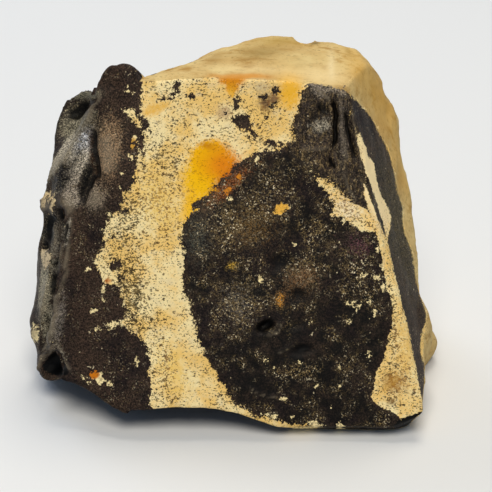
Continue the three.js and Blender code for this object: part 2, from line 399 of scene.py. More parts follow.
markings = {
    "leftMass": (       # the dark mass left of the cream band
        (-60, 40), (-18, 33.2), (-18.4, 30.7), (-18.8, 26.1), (-19.1, 23.9), (-17.7, 21.1), (-18.8, 18.9),
        (-19.3, 15.4), (-19.8, 11.8), (-20.7, 10.5), (-21.8, 9.5), (-22.5, 6.6), (-24.3, 5), (-25.2, 2),
        (-25.7, -0.2), (-26.8, -2.1), (-26.6, -3.9), (-25.4, -6.4), (-22.7, -7.5), (-21.8, -9.6),
        (-21.1, -11.8), (-22.1, -13.6), (-20.2, -15.7), (-18.6, -16.8), (-17.7, -18.6), (-17.3, -20.7),
        (-17.1, -23), (-17, -25.7), (-17.1, -29.6), (-17.5, -60), (-60, -60),
    ),
    "cushion": (        # the big dark cushion on the right
        (-7.1, 9.1), (-8.9, 7.9), (-10, 5.5), (-11.1, 3.8), (-11.8, 1.4), (-11.1, -0.7), (-11.2, -2.9),
        (-11.4, -5.2), (-11.1, -8.2), (-9.8, -10.2), (-9.6, -12.3), (-8.9, -15), (-8.4, -17.7), (-7.1, -20),
        (-5.9, -21.8), (-4.8, -23.6), (-3.6, -25.7), (-2.5, -28), (0.7, -30), (5.2, -31.1), (9, -34),
        (15, -40), (35, -40), (33, -33.5), (27.7, -30.9), (25.7, -29.3), (23.6, -28.4), (22.5, -27.1),
        (22.9, -25.4), (23.4, -22.5), (24.8, -19.5), (25.4, -16.8), (26.1, -14.1), (26.2, -11.4),
        (26.1, -9.1), (25.4, -6.6), (25, -4.3), (24.3, 0.2), (23.6, 2.5), (16.8, 7.3), (15, 10), (13, 13.2),
        (11.4, 17.1), (7.5, 18.2), (6.1, 17.1), (4.1, 17.1), (1.8, 16.8), (0.2, 15.9), (-1.8, 14.5),
    ),
    "plate": (          # the rough dark plate at the upper right
        (11.6, 29.6), (10.4, 28.2), (9.6, 27), (9.5, 25.2), (9.1, 23.4), (8.2, 22), (8, 20.7), (8.6, 19.5),
        (7.1, 18), (8.2, 15.4), (12.3, 13.2), (13.6, 12.1), (15.9, 10), (17.7, 8.2), (20.7, 7), (22.5, 3.6),
        (24.6, 0.5), (23.2, 7.3), (21.4, 11.4), (19.8, 20.7), (18.6, 26.1), (17.3, 28.6), (14.1, 29.6),
    ),
    "island": (         # a dark island in the cream
        (-3.6, 22.7), (-3, 23.2), (-2, 23.6), (-1.1, 23.9), (0.2, 23.8), (0.7, 23.2), (1.1, 22.1),
        (1.6, 21.1), (2.1, 20), (1.8, 19.3), (1.2, 19.5), (0.5, 20), (-0.4, 20.5), (-1.4, 21.1),
        (-2.3, 21.8), (-3, 22.3),
    ),
    "sideBand": (       # the dark band down the right side
        (17.9, 29.6), (18.6, 27.9), (20.4, 25.4), (22.6, 22.7), (23.9, 20.3), (25.5, 17), (26, 15.4),
        (26.6, 12.4), (27.1, 9.7), (28, 7), (28, 4.6), (28.4, 2.3), (29.6, -0.7), (30.2, -4.3),
        (30.7, -7.3), (32.3, -12.1), (32, -16.6), (31.6, -20), (32, -21.4), (31.8, -40), (27.5, -40),
        (27.5, -31.8), (25, -4.3), (20, 20), (16, 28), (16.6, 28.4),
    ),
    "tongue": (         # the cream tongue below the plate
        (12.3, 12.7), (12.7, 11.8), (13.2, 10.9), (14.1, 10), (15, 9.5), (15.2, 8.4), (15.7, 7.3),
        (15.4, 5.7), (16.2, 5.7), (17.1, 5.2), (18.2, 4.1), (19.1, 3.6), (20, 3.2), (20.4, 2.5),
        (21.4, 2.7), (22.1, 2.5), (23.2, 2.7), (23.2, 3.8), (22.3, 5.5), (21.8, 6.4), (20.7, 6.8),
        (19.5, 7.3), (18.6, 8.2), (17.5, 9.1), (16.4, 10.2), (15.5, 11.1), (14.6, 11.6), (14.5, 12.1),
        (13.2, 12.3),
    ),
    "vein": (           # the pale vein in the side band
        (19.8, 20.2), (20.4, 20.5), (20.9, 18.9), (21.8, 16.2), (22.9, 14.5), (23.2, 12.1), (23.8, 10),
        (24.6, 8.2), (25.5, 6.2), (25.9, 4.9), (25.8, 3.8), (25.5, 2.3), (25.2, 0.7), (24.8, 2.6),
        (24.2, 5.1), (23.4, 7.8), (22.6, 10), (21.7, 12.4), (20.9, 14.7), (20.2, 17.1), (19.8, 18.9),
    ),
    "edgeStrip": (      # cream down the right ridge
        (21.1, 11.4), (21.6, 10), (22.3, 8.2), (23.4, 5.5), (24.3, 2.9), (25.2, 0.7), (25.7, -1.1),
        (26.4, -4.3), (27.3, -7.9), (28.4, -12.3), (29.5, -17.7), (30.4, -22.1), (31.3, -27.1),
        (31.6, -29.5), (30.4, -29.8), (29.1, -30.4), (28, -30.7), (27.5, -30.8), (27.1, -30), (26.1, -29.3),
        (25, -28.9), (23.9, -28), (23.2, -27), (22.9, -26.1), (23.2, -24.8), (23.6, -23.6), (24.5, -22.3),
        (25.4, -20.7), (25.7, -18.6), (25.9, -15.9), (26.2, -13.2), (26.1, -10.5), (25.7, -8.8),
        (25.2, -7.9), (25, -6.1), (24.5, -2.9), (23.9, 0.2), (23.2, 2.5), (22.1, 6.1), (21.2, 9.1),
    ),
    "lip": (            # the worn cream edge along the bottom
        (-8.2, -28.2), (-5.5, -28.9), (-2.5, -29.8), (0.7, -30.5), (2.9, -31.1), (5.2, -31.5), (7.9, -31.8),
        (10, -32.1), (12.5, -32.5), (12.5, -36.4), (-8.2, -36.4),
    ),
    "cornerShade": (    # painted shadow under the right corner
        (27, -31.1), (27.9, -30.6), (28.9, -30.3), (30, -29.7), (31.3, -29.3), (32.1, -29.5), (32.1, -32.9),
        (26.1, -32.9),
    ),
    "heel": (           # cream on the lump low on the right
        (31.6, -14.6), (31.1, -17.5), (31.4, -20), (32.2, -21.4), (34, -22), (37, -18), (35, -13),
        (32.3, -13.4),
    ),
    "topCorner": (      # chalky corner over the plate
        (10.3, 29.1), (11.2, 29.8), (12.3, 29.3), (13.7, 28.9), (15, 28.3), (16.6, 28.2), (18, 27.7),
        (19.6, 26.2), (21.6, 24), (23.2, 22), (30, 22), (30, 45), (8, 45),
    ),
    "thinLine": (       # a dark hairline between the vein and the edge strip
        (21.4, 13.3), (21.8, 12.2), (23.4, 7.6), (24.6, 3.6), (25.1, 1.5), (24.6, 2.2), (23.4, 5.4),
        (22.4, 8.8), (21.4, 12),
    ),
    "sliver": (         # a sliver of cream over the left mass
        (-21.6, 24.2), (-20.5, 24.5), (-19.7, 23.3), (-18.8, 22.2), (-18.9, 21.2), (-19.7, 21.7),
        (-20.5, 23),
    ),
    "darkSliver": (     # the dark beside it
        (-18.9, 24), (-18.4, 23.2), (-17.1, 21.2), (-17, 20.2), (-18, 20.9), (-18.4, 19.6), (-18.2, 16.4),
        (-18.9, 16.6), (-19.2, 20.5), (-18.8, 21.8), (-19.3, 23.2),
    ),
    "cornerFacet": (    # painted shadow in the hollow of the low left corner
        (-33.8, -18.2), (-32.9, -19.6), (-32.1, -21.1), (-31.6, -22.5), (-32.1, -23.2), (-34.6, -23),
        (-36.1, -22.3), (-36.4, -21.4), (-35.4, -20),
    ),
}


def onSheet(points):
    # straight lines from the eye through each point, cut by the sheet at the aim point
    away = points - sightFrom
    scale = sight["distance"] / (away @ sightLine)
    return np.stack([away[:, 0] * scale, (away @ sightUp) * scale], -1)


def facingEye(points, normals):
    # cosine of the angle between the surface's normal and the line to the eye
    towardsEye = sightFrom - points
    return (normals * towardsEye).sum(1) / np.linalg.norm(towardsEye, axis=1)


def insideBy(spots, outline):
    # distance in mm to the nearest side of an outline, positive where a line across from the
    # spot crosses its sides an odd number of times, which is inside it
    start = np.array(outline, float)
    end = np.roll(start, -1, axis=0)
    side = end - start
    rel = spots[:, None, :] - start[None]
    t = np.clip((rel * side).sum(-1) / (side ** 2).sum(-1), 0, 1)
    gap = np.sqrt(((rel - t[..., None] * side) ** 2).sum(-1).min(1))
    above = (start[:, 1] > spots[:, 1:]) != (end[:, 1] > spots[:, 1:])
    slope = side[:, 0] / np.where(side[:, 1] == 0, tiny, side[:, 1])
    crossed = above & (spots[:, :1] < start[:, 0] + (spots[:, 1:] - start[:, 1]) * slope)
    return np.where(crossed.sum(1) % 2 == 1, gap, -gap)


def inEllipse(spots, centre, size, turn):
    # place in a turned ellipse, across and along it, counted in its half sizes
    c, s = math.cos(math.radians(turn)), math.sin(math.radians(turn))
    rel = spots - np.array(centre)
    return (rel[:, 0] * c + rel[:, 1] * s) / size[0], (-rel[:, 0] * s + rel[:, 1] * c) / size[1]


def insideBlob(spots, centre, size, turn=0.0):
    # rough distance inside an ellipse: (1 - |place / half size|) times the smaller half size
    return (1 - np.hypot(*inEllipse(spots, centre, size, turn))) * min(size)


def softSpot(spots, centre, size, turn=0.0, edge=2):
    # bell: exp(-|place / half size|^edge), flatter on top and firmer at its edge for a high edge
    a, b = inEllipse(spots, centre, size, turn)
    return np.exp(-(a * a + b * b) ** (edge / 2))


darkBlobs = (           # dark spots and nicks: centre, half size, turn (else 0)
    ((-1.8, 25.4), (0.5, 1), -12), ((-9.5, 26.8), (0.6, 0.5)), ((5.5, 27.7), (0.6, 0.7), 20),
    ((3.6, 23), (0.5, 0.35)), ((-12.5, 28.4), (0.5, 2), -28), ((-14, 26.3), (1, 0.35), 10),
    ((4, 18.6), (2.6, 0.7), -15), ((3.2, 26.4), (0.6, 0.4)), ((4.7, 25.2), (0.7, 0.5), 30),
    ((26, -27.4), (0.9, 0.4)), ((-3.6, 23.6), (0.35, 0.3)), ((-17.2, 30), (0.35, 1.3), 28),
    ((-18.6, 19), (0.6, 1.9)), ((2.1, 21.5), (0.5, 0.4)), ((-23.4, -3.4), (0.9, 0.5), 20),
    ((-21.9, -6), (0.7, 0.5), -20), ((-24.2, 1.4), (0.6, 0.4), 30), ((-20.3, -12.6), (0.6, 0.5)),
    ((-18.1, 14.2), (0.4, 0.7)), ((-21.4, 6.4), (0.6, 0.4), 35),
)
creamBlobs = (          # chips that show the cream through the dark: the same
    ((-28.3, -4.1), (0.6, 0.3), 10), ((-25.7, -7.7), (0.4, 0.5)), ((-21.6, -9.1), (0.5, 0.9)),
    ((-27, -2.6), (0.3, 0.3)), ((-19.6, -20.4), (0.3, 0.6)), ((-24.5, 5.6), (0.4, 0.3), 20),
    ((-26.4, -23.4), (1.4, 1), -35), ((-24.6, -24.4), (0.55, 0.27), -20), ((-29.3, -23.6), (0.23, 0.23)),
    ((-28.1, -24.6), (0.31, 0.2), -30), ((-25.5, -9.8), (0.23, 0.31)), ((-27.2, -11.6), (0.27, 0.16)),
    ((-26.4, -15), (0.23, 0.39)), ((-22, 12.6), (0.23, 0.16)), ((-22.5, 10.5), (0.27, 0.16)),
    ((-20.1, 17.7), (0.55, 0.62), 20), ((-20, 19.2), (0.23, 0.47)), ((-20.4, 15.7), (0.31, 0.55), 10),
    ((-20.7, 27.4), (0.47, 0.16), -50), ((-21.3, 28.2), (0.16, 0.31)), ((-36.3, 8.2), (0.4, 1.2)),
    ((-35.6, 9.1), (0.7, 0.31)), ((-34.7, 7.9), (0.4, 1.3), -10), ((-35.9, -1.5), (0.5, 1.3), -10),
    ((-35.5, -2.9), (0.7, 1), -20), ((-37.7, -15.5), (0.8, 1.4)), ((-34.1, -17.7), (0.23, 0.39)),
    ((-23.2, -13.9), (1.6, 0.45), 10), ((6.2, 6.7), (1.35, 0.75), 25), ((-3.6, 9.8), (0.62, 0.55)),
    ((-5.7, 9.8), (0.47, 0.23), 20), ((-1.3, 12.1), (0.31, 0.39)), ((2, 15.6), (0.31, 0.39)),
    ((-8.8, 6.3), (0.35, 0.27)), ((-2.9, 8.5), (0.2, 0.23)), ((2.5, -5.8), (0.2, 0.47), 10),
    ((8.5, 0.4), (0.16, 0.16)), ((11.4, 13.5), (0.47, 0.2), -10), ((21.2, -5.3), (0.23, 0.23)),
    ((20.5, -6.2), (0.16, 0.35), 10), ((19.3, -10), (0.35, 0.31)), ((18.3, -10.5), (0.31, 0.23)),
    ((20.2, -10.8), (0.39, 0.31), 20), ((21.9, -9.9), (0.55, 0.23), -10),
    ((22.7, -12.1), (0.23, 0.47), -30), ((18.7, -13.5), (0.23, 0.2)), ((11.7, -13.3), (0.16, 0.16)),
    ((17.4, 4.3), (0.23, 0.2)), ((22.3, -1.7), (0.23, 0.23)), ((23.8, -0.4), (0.55, 0.12)),
    ((24.4, -3.5), (0.39, 0.47)), ((23.6, -5.6), (0.7, 0.55), 30), ((24.6, -7.4), (0.47, 0.78)),
    ((3.5, -20.6), (0.2, 0.2)), ((4.8, -21.8), (0.23, 0.2)), ((9.8, -20.9), (0.31, 0.2)),
    ((22.1, -19.3), (0.31, 0.39)), ((15, -28.8), (0.2, 0.35)), ((16.8, -32.1), (0.55, 0.43)),
    ((12.1, -31.8), (1.2, 0.45), -8), ((8.2, -30.8), (0.2, 0.2)), ((4.3, -30.3), (1.2, 0.4), -6),
    ((6.6, -27.4), (0.31, 0.23)), ((16.5, -21.6), (0.23, 0.16), 30), ((12.6, -24.9), (0.2, 0.23)),
    ((16.8, -25.2), (0.16, 0.16)),
)
creamTints = (          # colour, strength, centre, half size, turn (else 0), edge (else 2, which is soft)
    ("#FFC400", 1, (-8, 12.6), (3.2, 5.6), -10, 3),
    ("#FFC21A", 0.9, (-10, 7), (1.4, 2.6), -15),
    ("#FBB800", 1, (-6.2, 15.6), (3.4, 3.2), 0, 4),
    ("#EC8A10", 1, (-4.2, 14.6), (2.9, 3), -25),
    ("#B4560E", 0.8, (-3.4, 12), (3.2, 1.1), 45),
    ("#B4660E", 0.6, (-7, 18), (1.6, 0.5), -20),
    ("#DC8A14", 1, (-2.6, 29.4), (2.4, 0.8), 0, 4),
    ("#E39A1A", 1, (-2.5, 28.2), (1.3, 0.9), 0, 3),
    ("#F0B43A", 0.9, (-2.5, 27.2), (0.7, 0.8), 0, 3),
    ("#F5B833", 0.9, (8, 27.8), (2.2, 3.4)),
    ("#F0BC58", 0.7, (-16.2, 24.6), (2.8, 1.2), 25, 4),
    ("#F4CC6A", 0.6, (-15.5, 8), (4, 7), 20),
    ("#F4CC6A", 0.5, (-13, -22), (3, 6), 20),
    ("#EDC26A", 0.6, (28.4, -18), (2, 9), 8),
    ("#B98A3C", 0.7, (26.2, -24.5), (2.2, 2)),
    ("#6E5020", 0.8, (26, -27.8), (0.9, 0.5)),
    ("#6E5236", 0.8, (3.6, 25.6), (1.7, 1.8), 10),
    ("#7E6448", 0.8, (5.2, 26.3), (0.8, 1), 0, 3),
    ("#CDB98F", 0.6, (3, 28.6), (2.6, 1.2)),
    ("#C0A076", 0.6, (-4, 24), (1.8, 1.6)),
    ("#D08A32", 1, (-0.8, 30.3), (5.6, 0.55), 0, 4),
    ("#F0D8A0", 0.5, (3, 31.6), (9, 0.8), -2),
    ("#F0D8A0", 0.8, (13.6, 30.4), (4.6, 1.7), -10),
    ("#9E8650", 0.9, (2.9, 34.6), (4.6, 1.2), 5),
    ("#B0924C", 0.8, (6, 36.6), (5, 0.8)),
    ("#A98A52", 0.8, (-5.4, 33.6), (2, 1), 30),
    ("#D9C68C", 0.6, (9.6, 32.9), (4, 1.6)),
    ("#EFDDAE", 0.6, (15.2, 32), (0.7, 2.6)),
    ("#6E5C38", 0.9, (12.4, 36.3), (0.8, 0.4), 20, 3),
    ("#8A6E3A", 0.8, (18.4, 34.7), (0.5, 1.2), 40),
    ("#C89A4A", 0.8, (24.6, 25), (2, 5), 25),
    ("#FFE6B0", 0.9, (23, 11), (2.6, 9.6), 15, 4),
    ("#FFF0CC", 0.5, (18, 6.5), (4, 2.2), -35),
    ("#CDA04C", 0.8, (20.8, 31), (2.4, 7), 25),
    ("#CFA04A", 0.8, (28.6, 17), (2.6, 11), 12),
    ("#D2780F", 1, (-27.2, -22.8), (1, 0.9), 0, 3),
    ("#F3B84A", 0.9, (6.2, 6.8), (1.7, 1.1), 25, 4),
    ("#D8851C", 1, (-3.6, 9.8), (1.2, 1), 0, 4),
    ("#D8851C", 1, (-1.3, 12.1), (0.9, 0.8), 0, 4),
    ("#D9A444", 0.9, (-20.1, 17.9), (0.8, 1.4)),
    ("#C06A1C", 0.9, (-24.6, -6.3), (0.5, 0.6)),
    ("#E8CB98", 0.7, (-36, 7), (3, 5)),
    ("#DCC59E", 0.7, (-36, -3), (2, 5)),
)
darkTintsAndPaintedLight = (           # the same for the dark; several on the left flank are painted light and shade
    ("#6A3A16", 0.9, (-3.2, 10.6), (4.6, 1.2), 42),
    ("#866B4F", 0.9, (-24.5, 17.3), (2.2, 5.2), -4),
    ("#6E6152", 0.85, (-27.1, 8.6), (2, 2.2)),
    ("#6E6856", 0.95, (-30.4, 21.4), (3, 2.8), 20),
    ("#5E5A4A", 0.9, (-29.2, 27.1), (3.2, 0.8)),
    # painted shade in the rear knob's pit
    ("#1A130E", 0.95, (-29.8, 24.3), (2.5, 1), 36, 4),
    # below the flank's crest: a painted highlight on the lit slope, and painted shade in the dark wedge
    # beside it
    ("#A79E8B", 1, (-32.8, 16.3), (0.7, 4.8), -33, 4),
    ("#252326", 0.95, (-31, 16.2), (0.85, 3.6), -25),
    ("#1E1B1C", 1, (-32.4, 12.8), (1.4, 1.9), -25, 4),
    ("#1E1B1C", 1, (-33.3, 10.9), (1.4, 1.6), -20, 4),
    # painted light: the grey scoop's pale blue-grey
    ("#B2B3B6", 1, (-28.8, 18.5), (1.2, 2.4), -15, 3),
    ("#B5AA97", 1, (-29.4, 15), (1.2, 2.7), -18, 3),
    ("#9C9080", 1, (-30.4, 12.3), (0.7, 1.6), -25, 3),
    ("#857A6C", 0.95, (-31.2, 8.8), (1.5, 1.8), -20, 3),
    # painted shade in the long crevice and its foot
    ("#38200F", 1, (-27.1, 16.6), (0.7, 4.2), 9, 4),
    ("#1D150F", 1, (-28.3, 12.6), (1.1, 2.6), -15, 4),
    ("#1D150F", 1, (-29.3, 9.4), (0.5, 1.6), -15, 3),
    ("#8E8672", 0.8, (-35.4, 13.6), (0.8, 2.6), -35),
    # painted shade in the crevices of the left side
    ("#0C0A08", 1, (-35.9, 3.6), (0.8, 2.4), 0, 4),
    ("#0C0A08", 1, (-33.8, -2), (0.35, 3.2), 0, 4),
    ("#0C0A08", 1, (-34.5, -6.8), (0.6, 1.7), 0, 4),
    ("#0C0A08", 1, (-32.4, 2.4), (0.4, 1.9), 8, 4),
    ("#0C0A08", 0.9, (-35.4, -14), (0.3, 3), 10, 4),
    # painted highlights along the side ridges
    ("#8B8376", 0.9, (-31.8, 2.6), (0.3, 2.8), -6, 3),
    ("#8F8774", 0.8, (-35, -11.2), (0.25, 4), 6, 3),
    # painted shade in the crack below the flank's ridge
    ("#0F0C0A", 1, (-27.6, 22), (0.25, 2.6), -32, 4),
    # a painted highlight along the corner ridge
    ("#8D8574", 0.8, (-33, -19), (0.25, 2.2), 28, 3),
    ("#948C76", 0.9, (-36, -8.5), (1, 6)),
    ("#5C574E", 0.8, (-34, 0), (0.7, 6)),
    ("#57504A", 0.7, (-33.4, -13), (1, 5), -8),
    ("#5C4420", 0.45, (1, 3.5), (5, 4)),
    ("#5E452C", 0.7, (9.8, -6), (3.4, 2.6), 30),
    ("#B0782A", 0.8, (6.1, -9.7), (0.8, 1.1)),
    ("#9A7A2A", 0.6, (-2.3, -3.6), (1, 0.8)),
    ("#4E2E34", 0.45, (20.2, 0), (2.6, 2.4)),
    ("#3E423A", 0.4, (-8.6, 1.4), (2.6, 5)),
    ("#5E5952", 0.3, (-1.5, -10.5), (3.4, 4)),
    ("#4C443E", 0.7, (17.4, 20.4), (1.1, 6)),
    ("#766B5E", 0.9, (15.2, 28.2), (3.6, 0.8), -12),
    ("#6E645A", 0.7, (12.6, 27.6), (1.4, 0.8), -40),
    ("#8C8473", 0.7, (13.4, 21.4), (2, 1.2), 20),
    ("#40371F", 0.6, (27.5, 4), (3.2, 16), 12),
)
pepper = (              # more or less black pepper in the cream: amount, centre, half size, turn (else 0)
    (0.4, (-21.5, 4), (2.5, 9)), (0.35, (-20, -14), (2.6, 8)), (0.35, (-15, 12), (3, 9)),
    (-0.7, (-16.2, 24.6), (2.6, 1.6), 20), (0.25, (-15, -20), (2, 8), 10), (-0.2, (-12, -20), (1.6, 7), 20),
    (-0.5, (9, 27), (1.6, 3)), (-0.4, (29, -12), (1.2, 10), 10), (0.6, (26.2, -14), (0.9, 6), 4),
    (0.3, (26.5, -25), (2.6, 3.5)), (0.5, (-21, -8), (3, 5)), (-1, (22.5, 12), (2.5, 9), -15),
    (0.9, (20.6, 4.8), (2.6, 1.4), -30), (0.4, (17.4, 8), (3, 1.6), -38), (0.3, (-14.2, 26), (2, 2)),
)
pale = (                # more or less pale flecks in the dark: the same
    (-0.5, (12, -17), (9, 5)), (1.2, (-1.1, -10.5), (3.2, 3.6)), (0.9, (12.3, 1.4), (1.8, 4.2)),
    (0.8, (9.6, -22.1), (3.8, 2.4)), (0.8, (17.7, -20.4), (2, 4)), (0.6, (15, -16), (1.6, 2)),
    (0.9, (-3.7, 3.7), (3.5, 5), 20), (0.5, (4, 9), (5, 5)), (0.6, (-26, -12), (1.4, 3.4)),
    (0.5, (-20.5, -9), (1.6, 3)), (0.7, (20, -7), (3, 4)), (-0.35, (23.2, -18.6), (1.6, 4)),
    (-0.3, (-2, -24), (3, 2.5), 20), (-0.3, (18.6, -28), (4, 1.6)), (-0.35, (-23, 28), (3, 5)),
    (-0.3, (10, 24), (3, 4)), (-0.35, (28, 0), (3, 20), 12),
)
paint = {               # a noise is height (mm), length (mm), octaves and seed
    "masses": ("leftMass", "cushion", "plate", "island", "darkSliver", "sideBand"),
    "lightBands": ("tongue", "edgeStrip", "sliver", "lip", "heel"),
    "raggedCoarse": (0.3, 3.2, 3, 3), "raggedFine": (0.25, 1.2, 2, 8),
    "lightRagged": 0.6,
    "crispFrom": 19.5, "crispSlant": 0.12,      # mm across on the sheet, and more per mm down
    "crispRagged": 0.25, "crispStray": (0.22, 7, 2, 12), "crispFirmness": 3,
    "veinStray": (0.5, 5, 3, 14),
    "seen": (0.0, 0.1), "tintSeen": (0.02, 0.3), "turnRagged": 0.02,    # cosines to the eye
    "unseenDepth": 2,
    "inner": (16, 30, 3, 21), "innerMean": 1.5, "innerSlope": 0.25, "innerMiddle": 5,
    "leftDark": 12, "leftFrom": (14, 24),
    "fenceSides": 20, "fenceCorners": ((-60, -60), (-60, 31), (10, 31)),
    "rindTurn": (12, 0.12), "rindMost": 3.0, "rindBack": 0.1, "rindRagged": 0.5,
    "darkTopFrom": 18.5, "darkTopSlope": 0.35, "darkTopMiddle": 12,
    "tintShake": (0.35, 2.5, 3, (81, 85)), "chipShake": (0.5, 0.9, 1, (87, 88)), "leastChip": 0.3,
    "flankFrom": (-8, -2),
    "pepperMean": 0.5, "fleckMean": 0.35,
    "cushionEdge": (-0.5, 1.5), "plateEdge": (-0.5, 0.5),
    "leastCover": 1e-3,
}


def layTints(spots, tints, seen):
    # lays one soft spot of colour over the other: old (1 - share) + new share, and keeps how
    # much they cover as alpha
    colours, amount = np.zeros((len(spots), 3)), np.zeros(len(spots))
    for colour, strength, *spot in tints:
        share = strength * seen * softSpot(spots, *spot)
        colours = colours * (1 - share[:, None]) + np.array(linear(colour)[:3]) * share[:, None]
        amount = amount * (1 - share) + share
    return np.concatenate([colours / np.maximum(amount, paint["leastCover"])[:, None], amount[:, None]], 1)


def paintStone(points, normals, owner, rindLead):
    # the fields that the stone's one material reads, as numbers at every point: dark, rind, chip
    # and the painted shadow are mm inside their edges, the tints colours, and the others amounts
    p = paint
    spots = onSheet(points)
    facing = facingEye(points, normals)
    seen = smoothStep(facing, *p["seen"])

    ragged = noise(points, *p["raggedCoarse"]) + noise(points, *p["raggedFine"])
    crisp = spots[:, 0] > p["crispFrom"] + p["crispSlant"] * np.maximum(-spots[:, 1], 0)
    ragged = np.where(crisp, p["crispRagged"] * ragged + noise(points, *p["crispStray"]), ragged)
    masses = [insideBy(spots, markings[name]) for name in p["masses"]]
    masses += [insideBlob(spots, *blob) for blob in darkBlobs]
    dark = np.max(masses, axis=0) + ragged
    light = [insideBy(spots, markings[name]) for name in p["lightBands"]]
    wavy = spots + np.stack([np.zeros(len(spots)), noise(points, *p["veinStray"])], -1)
    light.append(insideBy(wavy, markings["vein"]))
    dark = np.minimum(dark, -np.max(light, axis=0) - p["lightRagged"] * ragged)
    dark = np.maximum(dark, insideBy(spots, markings["thinLine"]))
    dark = np.where(crisp, p["crispFirmness"] * dark, dark)
    # painted shadow: black under the right corner and in the low left corner's hollow
    hollow = np.maximum(*[insideBy(spots, markings[name]) for name in ("cornerShade", "cornerFacet")])

    # out of sight the same masses go on as big soft shapes through the stone
    inner = noise(points, *p["inner"]) + p["innerMean"]
    inner = inner - p["innerSlope"] * (points[:, 0] + p["innerMiddle"]) + ragged
    inner = inner + p["leftDark"] * smoothStep(-points[:, 0], *p["leftFrom"])
    dark = np.where(facing < p["turnRagged"] * ragged, inner, dark)

    # the rind: over the top and the upper back, and right of the side band
    onTop = onSkin(owner, "rindTop")
    fence = (*markings["sideBand"][:p["fenceSides"]], *p["fenceCorners"])
    gain, turnedAway = p["rindTurn"]
    rindSide = np.maximum(-insideBy(spots, fence), gain * (turnedAway - facing) + ragged)
    rindTop = np.clip(rindLead, -p["rindMost"], p["rindMost"]) - p["rindBack"] + p["rindRagged"] * ragged
    rind = np.where(onTop, rindTop, -p["rindMost"])
    rind = np.where(onSkin(owner, "rindBeside"), rindSide, rind)
    rind = np.where(onSkin(owner, "rindOnly"), p["rindMost"], rind)
    rind = np.where(onTop, rind, np.maximum(rind, insideBy(spots, markings["topCorner"])))
    darkTop = p["darkTopSlope"] * (points[:, 1] - p["darkTopMiddle"])
    darkTop = -points[:, 0] - p["darkTopFrom"] + darkTop + ragged
    onCrown = onSkin(owner, "crown")
    rind = np.where(onCrown, np.minimum(rind, -darkTop), rind)
    dark = np.where(onCrown | onSkin(owner, "peak"), np.maximum(dark, darkTop), dark)

    bitten = shaken(spots, points, *p["chipShake"])
    chips = [
        insideBlob(bitten, centre, np.maximum(size, p["leastChip"]), *turn)
        for centre, size, *turn in creamBlobs
    ]
    warped = shaken(spots, points, *p["tintShake"])
    unseen = p["unseenDepth"] * (1 - seen)
    return {
        "dark": dark,
        "rind": rind,
        "pepper": p["pepperMean"] + sum(more * softSpot(spots, *spot) for more, *spot in pepper),
        "fleck": p["fleckMean"] + sum(more * softSpot(spots, *spot) for more, *spot in pale),
        "cushion": seen * smoothStep(insideBy(spots, markings["cushion"]), *p["cushionEdge"]),
        "plate": seen * smoothStep(insideBy(spots, markings["plate"]), *p["plateEdge"]),
        "flank": onSkin(owner, "flank") * smoothStep(-spots[:, 1], *p["flankFrom"]),
        "chip": np.max(chips, axis=0) - unseen,
        "hollow": hollow - unseen,
        "creamTint": layTints(warped, creamTints, smoothStep(facing, *p["tintSeen"])),
        "darkTint": layTints(warped, darkTintsAndPaintedLight, seen),
    }


